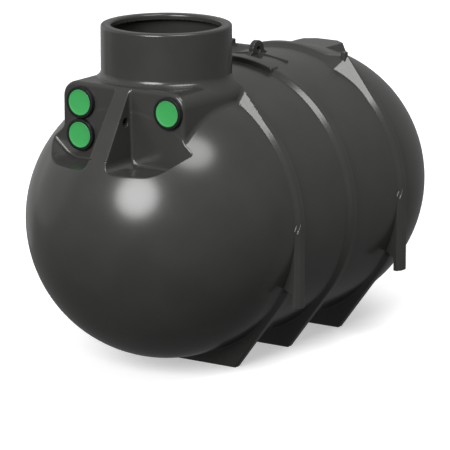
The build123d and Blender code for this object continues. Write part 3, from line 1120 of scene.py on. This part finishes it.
    def build(self, wardrobe: Wardrobe) -> None:
        """Builds and dresses the outer skin and the lining.

        Args:
            wardrobe: The finishes.
        """
        nodes = ["housing_top", "nose", "neck_collar", "neck_rim"]
        for stem in ("dome_shoulder", "housing_side", "port_wall", "pocket_floor"):
            nodes += [f"{stem}_{side_name}" for _, side_name in SIDES]
        skin = self.wall_side("front_moulding", self.outside, self.cell, outer=True)
        wardrobe.dress(skin, Slot.PLASTIC, nodes)
        lining = self.wall_side("front_lining", self.inside, self.lining_cell, outer=False)
        wardrobe.dress(lining, Slot.PLASTIC, [])

    def wall_side(
        self, name: str, distance: Callable[[Array], Array], cell: float, outer: bool
    ) -> bpy.types.Object:
        """Meshes one side of the wall.

        Args:
            name: Name of the piece.
            distance: Distance field of the side.
            cell: Edge length of the mesh.
            outer: Whether it is the outer side, which also has the bore's upper end.

        Returns:
            The new object.
        """
        net = self.net(distance, cell)
        verts, quads = net.build()
        obj = as_object(name, verts, quads if outer else quads[:, ::-1])
        self.region.cut(obj, keep_inside=True)
        self.trim_bore(obj, keep_upper=outer)
        slope = net.gradient(points_of(obj.data))
        set_normals(obj, slope if outer else -slope)
        return obj

    def trim_bore(self, obj: bpy.types.Object, keep_upper: bool) -> None:
        """Cuts the bore at its seam and keeps the part above or below.

        Args:
            obj: The skin or the lining.
            keep_upper: Whether the bore's upper part is kept.
        """
        s = self.sizes
        limit = s.neck_radius - s.neck_wall / 2

        def unwanted(centre: Vector) -> bool:
            """Whether a face with this middle lies on the side of the seam that is dropped."""
            in_bore = math.hypot(centre.x, centre.y + self.body.half_barrel) < limit
            return in_bore and centre.z <= s.bore_seam if keep_upper else centre.z > s.bore_seam

        with edited(obj) as bm:
            part_faces(bm, (0, 0, s.bore_seam), (0, 0, 1))
            drop_faces(bm, unwanted)


@dataclass
class TankLining(Moulding):
    """Inner side of the tank's wall away from the front moulding, seen down the neck."""

    body: BodySizes
    region: RegionBox
    rings: int = 96
    around: int = 180

    def build(self, wardrobe: Wardrobe) -> None:
        """Builds and dresses the lining.

        Args:
            wardrobe: The finishes.
        """
        b = self.body
        radius = b.radius - b.wall
        turns = np.linspace(0, math.pi, self.rings + 1)[1:-1]
        around = np.linspace(0, 2 * math.pi, self.around, endpoint=False)
        rings = []
        for turn in turns:
            shift = math.copysign(b.half_barrel, turn - math.pi / 2)
            r = radius * math.sin(turn)
            y = np.full_like(around, shift - radius * math.cos(turn))
            rings.append(np.stack([r * np.cos(around), y, b.axis_height + r * np.sin(around)], axis=1))
        reach = b.half_barrel + radius
        obj = closed_tube("tank_lining", rings, (0, -reach, b.axis_height), (0, reach, b.axis_height))
        self.turn_inwards(obj)
        self.region.cut(obj, keep_inside=False)
        wardrobe.dress(obj, Slot.PLASTIC, [])

    def turn_inwards(self, obj: bpy.types.Object) -> None:
        """Turns every face towards the barrel's axis.

        Args:
            obj: The piece.
        """
        b = self.body
        with edited(obj) as bm:
            flipped = []
            for face in bm.faces:
                face.normal_update()
                centre = face.calc_center_median()
                middle = min(max(centre.y, -b.half_barrel), b.half_barrel)
                if face.normal.dot(centre - Vector((0, middle, b.axis_height))) > 0:
                    flipped.append(face)
            bmesh.ops.reverse_faces(bm, faces=flipped)


# Small moulded parts

def prism(name: str, outline: Outline, start: float, end: float, axis: str) -> bpy.types.Object:
    """Makes a straight solid from an outline.

    Args:
        name: Name of the piece.
        outline: Corners in the plane across the axis, the first letter before the second.
        start: Where the solid starts along the axis.
        end: Where it ends.
        axis: "x", "y" or "z".

    Returns:
        The new object.
    """
    return stacked(name, [(start, outline), (end, outline)], axis)


def stacked(name: str, sections: Sequence[tuple[float, Outline]], axis: str) -> bpy.types.Object:
    """Makes a solid through several outlines with the same number of corners.

    Args:
        name: Name of the piece.
        sections: Place along the axis and outline of each section.
        axis: "x", "y" or "z".

    Returns:
        The new object.
    """
    verts = []
    for place, outline in sections:
        for a, b in outline:
            verts.append({"x": (place, a, b), "y": (a, place, b), "z": (a, b, place)}[axis])
    n = len(sections[0][1])
    faces: list[tuple[int, ...]] = [tuple(range(n)), tuple(range(len(verts) - 1, len(verts) - 1 - n, -1))]
    for row in range(len(sections) - 1):
        for k in range(n):
            after = (k + 1) % n
            faces.append((row * n + k, (row + 1) * n + k, (row + 1) * n + after, row * n + after))
    obj = as_object(name, np.array(verts), faces)
    face_outwards(obj)
    return obj


def soften(obj: bpy.types.Object, width: float, segments: int = 3, angle: float = 25.0) -> None:
    """Rounds the edges of a piece and applies the result.

    Args:
        obj: The piece.
        width: Width of the rounding.
        segments: Faces across the rounding.
        angle: Least angle of the edges that are rounded, in degrees.
    """
    bevel = obj.modifiers.new("edges", "BEVEL")
    bevel.width = width
    bevel.segments = segments
    bevel.limit_method = "ANGLE"
    bevel.angle_limit = math.radians(angle)
    bevel.harden_normals = True
    bake(obj)


def bake(obj: bpy.types.Object) -> None:
    """Replaces a piece's mesh by the result of its modifiers.

    Args:
        obj: The piece.
    """
    graph = bpy.context.evaluated_depsgraph_get()
    mesh = bpy.data.meshes.new_from_object(obj.evaluated_get(graph))
    obj.modifiers.clear()
    old = obj.data
    obj.data = mesh
    mesh.name = obj.name
    bpy.data.meshes.remove(old)


class CopyTree:
    """Node tree that sets a copy of one form on every point of a mesh."""

    def __init__(self, name: str, value: str, kind: str, material: bpy.types.Material) -> None:
        """Makes the tree from its points to the finished copies.

        Args:
            name: Name of the tree.
            value: Name of the value that the tree takes beside the points.
            kind: Socket type of that value.
            material: The finish.
        """
        self.tree = bpy.data.node_groups.new(name, "GeometryNodeTree")
        interface = self.tree.interface
        interface.new_socket("Geometry", in_out="INPUT", socket_type="NodeSocketGeometry")
        self.value = interface.new_socket(value, in_out="INPUT", socket_type=kind).identifier
        interface.new_socket("Geometry", in_out="OUTPUT", socket_type="NodeSocketGeometry")
        self.start = self.node("NodeGroupInput")
        self.copies = self.node("GeometryNodeInstanceOnPoints")
        real = self.node("GeometryNodeRealizeInstances")
        paint = self.node("GeometryNodeSetMaterial", Material=material)
        end = self.node("NodeGroupOutput")
        self.link(self.start, "Geometry", self.copies, "Points")
        self.link(self.copies, "Instances", real, "Geometry")
        self.link(real, "Geometry", paint, "Geometry")
        self.link(paint, "Geometry", end, "Geometry")

    def node(self, kind: str, **values: object) -> bpy.types.Node:
        """Adds a node with the given input values."""
        return add_node(self.tree, kind, **values)

    def link(self, source: bpy.types.Node, output: str, target: bpy.types.Node, entry: str) -> None:
        """Links an output of one node to an input of another."""
        self.tree.links.new(source.outputs[output], target.inputs[entry])

    def apply(self, obj: bpy.types.Object, value: float) -> None:
        """Runs the tree on the points of a mesh and keeps the result.

        Args:
            obj: The mesh with the points.
            value: The tree's own value.
        """
        modifier = obj.modifiers.new("copies", "NODES")
        modifier.node_group = self.tree
        modifier[self.value] = value
        bake(obj)


@dataclass
class StrapLegs(Moulding):
    """Legs that hang beside the outer ribs, each with a web to the barrel."""

    body: BodySizes
    depth: float = 0.035
    bottom: float = 0.330
    web_low: float = 0.395
    web_high: float = 0.423
    web_reach: float = 0.052
    edge: float = 0.004

    def build(self, wardrobe: Wardrobe) -> None:
        """Builds and dresses all four legs.

        Args:
            wardrobe: The finishes.
        """
        b = self.body
        for rib, rib_name in ((b.ribs[0], "front"), (b.ribs[2], "rear")):
            start = rib.front + float(b.slope_span(np.zeros(1), rib)[0][0])
            for side, side_name in SIDES:
                sections = [
                    (start, self.outline(side, b.radius)),
                    (rib.front + b.slope_end, self.outline(side, b.crest_radius)),
                    (rib.front + b.rib_width, self.outline(side, b.crest_radius)),
                ]
                leg = stacked(f"{rib_name}_strap_leg_{side_name}", sections, "y")
                soften(leg, self.edge)
                wardrobe.dress(leg, Slot.PLASTIC, [f"{rib_name}_leg_{side_name}"])

    def outline(self, side: int, outer: float) -> list[tuple[float, float]]:
        """Outline of a leg and its web, seen from the front.

        Args:
            side: -1 for left and 1 for right.
            outer: Distance of the outer face from the mid plane.

        Returns:
            The corners.
        """
        inner = self.body.crest_radius - self.depth
        top = self.body.axis_height
        return [
            (side * outer, top),
            (side * outer, self.bottom),
            (side * inner, self.bottom),
            (side * inner, self.web_low),
            (side * (inner - self.web_reach), self.web_high),
            (side * (inner - self.web_reach), top),
        ]


@dataclass
class LegMarks(Moulding):
    """Short slanted wedges at the top of every leg, set in place by a node tree."""

    body: BodySizes
    radius: float = 0.0030
    places: tuple[tuple[float, float, float], ...] = ((0.6490, 0.0010, 0.036), (0.6583, 0.0180, 0.044))
    height: float = 0.703
    lean: tuple[float, float, float] = (0.160, 0.360, 0.920)
    facing: tuple[float, float, float] = (0.343, -0.872, 0.348)

    def tree(self, material: bpy.types.Material) -> CopyTree:
        """Builds the node tree that sets one wedge on every point.

        Args:
            material: The finish.

        Returns:
            The tree.
        """
        tree = CopyTree("leg_marks", "Radius", "NodeSocketFloat", material)
        wedge = tree.node("GeometryNodeMeshCylinder", Vertices=3, Depth=1.0, Radius=1.0)
        turn = tree.node("GeometryNodeInputNamedAttribute", Name="turn")
        turn.data_type = "FLOAT_VECTOR"
        length = tree.node("GeometryNodeInputNamedAttribute", Name="length")
        size = tree.node("ShaderNodeCombineXYZ")
        tree.link(tree.start, "Radius", size, "X")
        tree.link(tree.start, "Radius", size, "Y")
        tree.link(length, "Attribute", size, "Z")
        tree.link(wedge, "Mesh", tree.copies, "Instance")
        tree.link(turn, "Attribute", tree.copies, "Rotation")
        tree.link(size, "Vector", tree.copies, "Scale")
        return tree

    def build(self, wardrobe: Wardrobe) -> None:
        """Builds and dresses the wedges.

        Args:
            wardrobe: The finishes.
        """
        points, turns, lengths = [], [], []
        for rib in (self.body.ribs[0], self.body.ribs[2]):
            for side in (-1, 1):
                turn = self.turn(side)
                for x, along, length in self.places:
                    points.append((side * x, rib.front + along, self.height))
                    turns += list(turn)
                    lengths.append(length)
        obj = as_object("leg_marks", np.array(points), [])
        obj.data.attributes.new("turn", "FLOAT_VECTOR", "POINT").data.foreach_set("vector", turns)
        obj.data.attributes.new("length", "FLOAT", "POINT").data.foreach_set("value", lengths)
        self.tree(wardrobe.materials[Slot.PLASTIC]).apply(obj, self.radius)
        wardrobe.dress(obj, Slot.PLASTIC, [])

    def turn(self, side: int) -> Euler:
        """Rotation that stands a wedge along its lean with one face turned to the front.

        Args:
            side: -1 for left and 1 for right.

        Returns:
            The rotation.
        """
        along = Vector((side * self.lean[0], self.lean[1], self.lean[2])).normalized()
        inwards = -Vector((side * self.facing[0], self.facing[1], self.facing[2]))
        inwards = (inwards - inwards.dot(along) * along).normalized()
        return Matrix((inwards, along.cross(inwards), along)).transposed().to_euler()


@dataclass
class CrownSaddle(Moulding):
    """Raised stretch of the middle rib over the crown."""

    body: BodySizes
    half_width: float = 0.228
    rise: float = 0.025
    edge: float = 0.006
    steps: int = 40

    def build(self, wardrobe: Wardrobe) -> None:
        """Builds and dresses the saddle.

        Args:
            wardrobe: The finishes.
        """
        b = self.body
        top = b.radius + self.rise
        reach = math.asin(self.half_width / top)
        angles = np.linspace(-reach, reach, self.steps)
        outline = [(top * math.sin(a), b.axis_height + top * math.cos(a)) for a in angles]
        low = b.radius - b.wall / 2
        outline += [(x, b.axis_height + math.sqrt(low * low - x * x))
                    for x in np.linspace(self.half_width, -self.half_width, self.steps)]
        front = b.ribs[1].front
        saddle = prism("crown_saddle", outline, front, front + b.rib_width, "y")
        soften(saddle, self.edge)
        wardrobe.dress(saddle, Slot.PLASTIC, ["middle_saddle"])


@dataclass
class RearPad(Moulding):
    """Blind pad over the rear end with its two small bosses."""

    body: BodySizes
    height: float = 1.324
    plan: tuple[tuple[float, float], ...] = ((0.117, 0.635), (0.118, 0.762), (0.114, 0.810), (0.060, 0.850))
    sink: float = 0.140
    splay: float = 0.065
    edge: float = 0.005
    boss_x: float = 0.320
    boss_width: float = 0.024
    boss_rise: float = 0.022
    boss_depth: float = 0.060
    boss_edge: float = 0.005

    def build(self, wardrobe: Wardrobe) -> None:
        """Builds and dresses the pad and the bosses.

        Args:
            wardrobe: The finishes.
        """
        top = list(self.plan) + [(-x, y) for x, y in reversed(self.plan)]
        foot = [(x + math.copysign(self.splay, x), y) for x, y in top]
        pad = stacked("blind_pad", [(self.height - self.sink, foot), (self.height, top)], "z")
        soften(pad, self.edge)
        wardrobe.dress(pad, Slot.PLASTIC, ["rear_pad"])
        b = self.body
        rear = b.ribs[2]
        start = rear.front + b.slope_end + self.edge
        end = rear.front + b.rib_width
        top = rear.flare.height + self.boss_rise
        half = self.boss_width / 2
        for side, side_name in SIDES:
            near = side * self.boss_x - half
            far = near + self.boss_width
            bottom = top - self.boss_depth
            outline = [(near, bottom), (near, top), (far, top), (far, bottom)]
            boss = prism(f"flare_boss_{side_name}", outline, start, end, "y")
            soften(boss, self.boss_edge)
            wardrobe.dress(boss, Slot.PLASTIC, [f"rear_boss_{side_name}"])


@dataclass
class LiftingLug(Moulding):
    """Lug with an eye on the crown, and a tapered gusset at each side."""

    body: BodySizes
    middle: float = 0.224
    thickness: float = 0.026
    base: float = 0.153
    top: float = 1.412
    head: float = 0.048
    eye_radius: float = 0.014
    eye_height: float = 1.368
    gusset_reach: float = 0.178
    gusset_width: float = 0.090
    gusset_depth: float = 0.060
    gusset_height: float = 1.3590
    tip_width: float = 0.012
    ridge_width: float = 0.008
    tip_height: float = 1.3330
    gusset_edge: float = 0.0025
    sink: float = 0.05
    edge: float = 0.004
    edge_angle: float = 40.0
    steps: int = 24

    def plate(self) -> bpy.types.Object:
        """Upright plate with a round head and the eye cut through it.

        Returns:
            The plate.
        """
        foot = self.body.axis_height + self.body.radius
        low = foot - self.sink
        shoulder = self.top - self.head
        rim = [(self.middle + self.base / 2, low), (self.middle + self.base / 2, foot)]
        for k in range(self.steps + 1):
            a = math.pi * k / self.steps
            rim.append((self.middle + self.head * math.cos(a), shoulder + self.head * math.sin(a)))
        rim += [(self.middle - self.base / 2, foot), (self.middle - self.base / 2, low)]
        plate = prism("lug_plate", rim, -self.thickness / 2, self.thickness / 2, "x")
        eye = [(self.middle + self.eye_radius * math.cos(a), self.eye_height + self.eye_radius * math.sin(a))
               for a in np.linspace(0, 2 * math.pi, 2 * self.steps, endpoint=False)]
        tool = prism("eye_tool", eye, -self.thickness, self.thickness, "x")
        cut = plate.modifiers.new("eye", "BOOLEAN")
        cut.operation = "DIFFERENCE"
        cut.solver = "EXACT"
        cut.object = tool
        bake(plate)
        bpy.data.objects.remove(tool)
        soften(plate, self.edge, angle=self.edge_angle)
        return plate

    def gusset(self, side: int) -> bpy.types.Object:
        """Tapered gusset from the plate out to one side.

        Args:
            side: -1 for left and 1 for right.

        Returns:
            The gusset.
        """
        low = self.tip_height - self.gusset_depth
        near = side * self.thickness / 4
        far = side * self.gusset_reach
        wide = self.gusset_width / 2
        slim = self.tip_width / 2
        ridge = self.ridge_width / 2
        verts = [
            (near, self.middle - wide, low), (near, self.middle + wide, low),
            (near, self.middle + ridge, self.gusset_height), (near, self.middle - ridge, self.gusset_height),
            (far, self.middle - slim, low), (far, self.middle + slim, low),
            (far, self.middle + ridge, self.tip_height), (far, self.middle - ridge, self.tip_height),
        ]
        faces = [(0, 1, 2, 3), (7, 6, 5, 4), (0, 4, 5, 1), (1, 5, 6, 2), (2, 6, 7, 3), (3, 7, 4, 0)]
        obj = as_object(f"lug_gusset_{'left' if side < 0 else 'right'}", np.array(verts), faces)
        face_outwards(obj)
        soften(obj, self.gusset_edge)
        return obj

    def build(self, wardrobe: Wardrobe) -> None:
        """Builds and dresses the lug.

        Args:
            wardrobe: The finishes.
        """
        plate = self.plate()
        wardrobe.dress(plate, Slot.PLASTIC, ["lifting_lug"])
        for side in (-1, 1):
            wardrobe.dress(self.gusset(side), Slot.PLASTIC, [])


# Ports

@dataclass(frozen=True)
class TurnedProfile:
    """Closed outline that is turned about a port's axis.

    Attributes:
        name: Name of the piece.
        points: Radius and distance behind the port wall of each corner.
        closed: Whether the outline closes on itself away from the axis.
    """

    name: str
    points: tuple[tuple[float, float], ...]
    closed: bool


SEAL_PROFILE = TurnedProfile("port_seals", (
    (0.0590, -0.0170), (0.0600, -0.0196), (0.0680, -0.0196), (0.0715, -0.0186), (0.0735, -0.0150),
    (0.0735, -0.0020), (0.0740, 0.0), (0.0590, 0.0),
), True)
CAP_PROFILE = TurnedProfile("port_caps", (
    (0.0002, -0.0175), (0.0500, -0.0175), (0.0520, -0.0178), (0.0540, -0.0188), (0.0575, -0.0188),
    (0.0588, -0.0182), (0.0590, -0.0165), (0.0590, 0.0), (0.0002, 0.0),
), False)


@dataclass
class PortSet(Moulding):
    """Seals and caps of all ports, turned and set in place by a node tree.

    Attributes:
        wall_y: Place of the port walls.
        ports: Place across and height of each port.
        steps: Faces around a port.
        axis_radius: Radius of the small circle that the outlines turn on.
        sharp_angle: Angle from which an edge is drawn sharp.
    """

    wall_y: float = -0.866
    ports: tuple[tuple[float, float], ...] = ((-0.228, 1.267), (-0.228, 1.118), (0.254, 1.267))
    steps: int = 72
    axis_radius: float = 0.0001
    sharp_angle: float = math.radians(35.0)

    def tree(self, outline: bpy.types.Object, name: str, material: bpy.types.Material) -> CopyTree:
        """Builds the node tree that turns an outline and copies it to every port.

        Args:
            outline: The outline as a curve object.
            name: Name of the tree.
            material: The finish.

        Returns:
            The tree.
        """
        tree = CopyTree(name, "Steps", "NodeSocketInt", material)
        path = tree.node("GeometryNodeCurvePrimitiveCircle", Radius=self.axis_radius)
        section = tree.node("GeometryNodeObjectInfo", Object=outline)
        turn = tree.node("GeometryNodeCurveToMesh")
        tree.copies.inputs["Rotation"].default_value = (math.pi / 2, 0.0, 0.0)
        tree.link(tree.start, "Steps", path, "Resolution")
        tree.link(path, "Curve", turn, "Curve")
        tree.link(section, "Geometry", turn, "Profile Curve")
        tree.link(turn, "Mesh", tree.copies, "Instance")
        return tree

    def outline_curve(self, profile: TurnedProfile) -> bpy.types.Object:
        """Outline of a profile as a curve object, radius along X and depth along Y.

        Args:
            profile: The outline.

        Returns:
            The curve object.
        """
        data = bpy.data.curves.new(f"{profile.name}_outline", "CURVE")
        data.dimensions = "3D"
        spline = data.splines.new("POLY")
        spline.points.add(len(profile.points) - 1)
        for point, (radius, depth) in zip(spline.points, profile.points):
            point.co = (radius, depth, 0.0, 1.0)
        spline.use_cyclic_u = profile.closed
        return bpy.data.objects.new(data.name, data)

    def turned(self, profile: TurnedProfile, material: bpy.types.Material) -> bpy.types.Object:
        """Turns one profile at every port and returns the plain mesh.

        Args:
            profile: The outline.
            material: The finish.

        Returns:
            The new object.
        """
        obj = as_object(profile.name, np.array([(x, self.wall_y, z) for x, z in self.ports]), [])
        outline = self.outline_curve(profile)
        self.tree(outline, f"turned_{profile.name}", material).apply(obj, self.steps)
        bpy.data.objects.remove(outline)
        face_outwards(obj)
        obj.data.polygons.foreach_set("use_smooth", [True] * len(obj.data.polygons))
        obj.data.set_sharp_from_angle(angle=self.sharp_angle)
        return obj

    def build(self, wardrobe: Wardrobe) -> None:
        """Builds and dresses the seals and the caps.

        Args:
            wardrobe: The finishes.
        """
        names = ("left_high", "left_low", "right")
        for profile, slot, stem in ((SEAL_PROFILE, Slot.SEAL, "seal"), (CAP_PROFILE, Slot.CAP, "cap")):
            obj = self.turned(profile, wardrobe.materials[slot])
            wardrobe.dress(obj, slot, [f"{stem}_{name}" for name in names])


# Studio

@dataclass(frozen=True)
class SoftLamp:
    """Round or oval soft light far from the tank.

    Attributes:
        name: Name of the light.
        toward: Direction from the tank to the light.
        half_angle: Half of the angle that it fills, in degrees.
        brightness: Radiance of its face.
        stretch: Width over height of its face.
        distance: How far away it stands.
    """

    name: str
    toward: tuple[float, float, float]
    half_angle: float
    brightness: float
    stretch: float = 1.0
    distance: float = 40.0


@dataclass
class Studio:
    """Camera at the photograph's viewpoint, pale floor and soft lights."""

    camera_place: tuple[float, float, float] = (9.5406, -14.2211, 4.5172)
    camera_aim: tuple[float, float, float] = (0.0125, -0.0601, 0.5714)
    lens: float = 297.6
    sensor: float = 36.0
    floor_half: float = 30.0
    sky_low: float = 0.13
    sky_high: float = 0.38
    sky_from: float = -0.6
    sky_to: float = 0.4
    view_end: float = 100.0
    lamp_aim: tuple[float, float, float] = (0.0, -0.5, 0.7)
    lamps: tuple[SoftLamp, ...] = (
        SoftLamp("key_light", (0.122, -0.876, 0.466), 16.4, 13.6),
        SoftLamp("top_light", (0.456, -0.110, 0.883), 13.4, 8.3, 1.15),
        SoftLamp("left_fill", (-0.90, -0.10, 0.25), 25.0, 0.30),
        SoftLamp("left_rim", (-0.86, 0.45, 0.05), 20.0, 0.22),
    )

    def camera(self) -> None:
        """Makes the camera and sets it as the scene's camera."""
        data = bpy.data.cameras.new("view")
        data.sensor_width = self.sensor
        data.lens = self.lens
        data.clip_end = self.view_end
        cam = bpy.data.objects.new("view", data)
        cam.location = self.camera_place
        look = Vector(self.camera_aim) - Vector(self.camera_place)
        cam.rotation_euler = look.to_track_quat("-Z", "Y").to_euler()
        bpy.context.scene.collection.objects.link(cam)
        bpy.context.scene.camera = cam

    def floor(self) -> None:
        """Lays the floor."""
        h = self.floor_half
        verts = np.array([(-h, -h, 0.0), (h, -h, 0.0), (h, h, 0.0), (-h, h, 0.0)])
        obj = as_object("studio_floor", verts, [(0, 1, 2, 3)])
        obj.data.materials.append(StudioFloor().build())
        obj.visible_diffuse = False
        obj.visible_glossy = False

    def lamp(self, lamp: SoftLamp) -> None:
        """Adds a soft light that looks at the tank.

        Args:
            lamp: Its direction, size and brightness.
        """
        data = bpy.data.lights.new(lamp.name, "AREA")
        data.shape = "ELLIPSE"
        radius = lamp.distance * math.tan(math.radians(lamp.half_angle))
        data.size = 2 * radius * lamp.stretch
        data.size_y = 2 * radius
        data.energy = lamp.brightness * math.pi * math.pi * radius * radius * lamp.stretch
        obj = bpy.data.objects.new(lamp.name, data)
        aim = Vector(self.lamp_aim)
        obj.location = aim + Vector(lamp.toward).normalized() * lamp.distance
        obj.rotation_euler = (aim - obj.location).to_track_quat("-Z", "Y").to_euler()
        bpy.context.scene.collection.objects.link(obj)

    def sky(self) -> None:
        """Sets a sky that is white to the eye and lights the tank softly, less from below."""
        world = bpy.data.worlds.new("studio")
        world.use_nodes = True
        tree = world.node_tree
        tree.nodes.clear()
        way = add_node(tree, "ShaderNodeTexCoord")
        parts = add_node(tree, "ShaderNodeSeparateXYZ")
        tree.links.new(way.outputs["Generated"], parts.inputs["Vector"])
        rise = add_node(
            tree, "ShaderNodeMapRange",
            From_Min=self.sky_from, From_Max=self.sky_to, To_Min=self.sky_low, To_Max=self.sky_high,
        )
        tree.links.new(parts.outputs["Z"], rise.inputs["Value"])
        soft = add_node(tree, "ShaderNodeBackground", Color=WHITE)
        tree.links.new(rise.outputs["Result"], soft.inputs["Strength"])
        white = add_node(tree, "ShaderNodeBackground", Color=WHITE)
        path = add_node(tree, "ShaderNodeLightPath")
        mix = add_node(tree, "ShaderNodeMixShader")
        out = add_node(tree, "ShaderNodeOutputWorld")
        tree.links.new(path.outputs["Is Camera Ray"], mix.inputs["Fac"])
        tree.links.new(soft.outputs["Background"], mix.inputs[1])
        tree.links.new(white.outputs["Background"], mix.inputs[2])
        tree.links.new(mix.outputs["Shader"], out.inputs["Surface"])
        bpy.context.scene.world = world
        bpy.context.scene.view_settings.view_transform = "Standard"

    def build(self) -> None:
        """Builds the whole studio."""
        self.camera()
        self.floor()
        self.sky()
        for lamp in self.lamps:
            self.lamp(lamp)


def plain(box: object) -> list[list[float]]:
    """Box corners as plain lists of numbers."""
    return [[float(value) for value in corner] for corner in box]


def main() -> None:
    """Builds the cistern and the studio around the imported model."""
    logging.basicConfig(level=logging.INFO, format="%(name)s %(message)s")
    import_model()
    body = BodySizes()
    front = FrontSizes()
    region = RegionBox(front.region_half, front.region_low, front.region_back)
    wardrobe = Wardrobe()
    mouldings: list[Moulding] = [
        BarrelSkin(body, region), FrontMoulding(body, front, region), TankLining(body, region),
        StrapLegs(body), LegMarks(body), CrownSaddle(body), RearPad(body), LiftingLug(body), PortSet(),
    ]
    for moulding in mouldings:
        moulding.build(wardrobe)
    Studio().build()


if __name__ == "__main__":
    main()
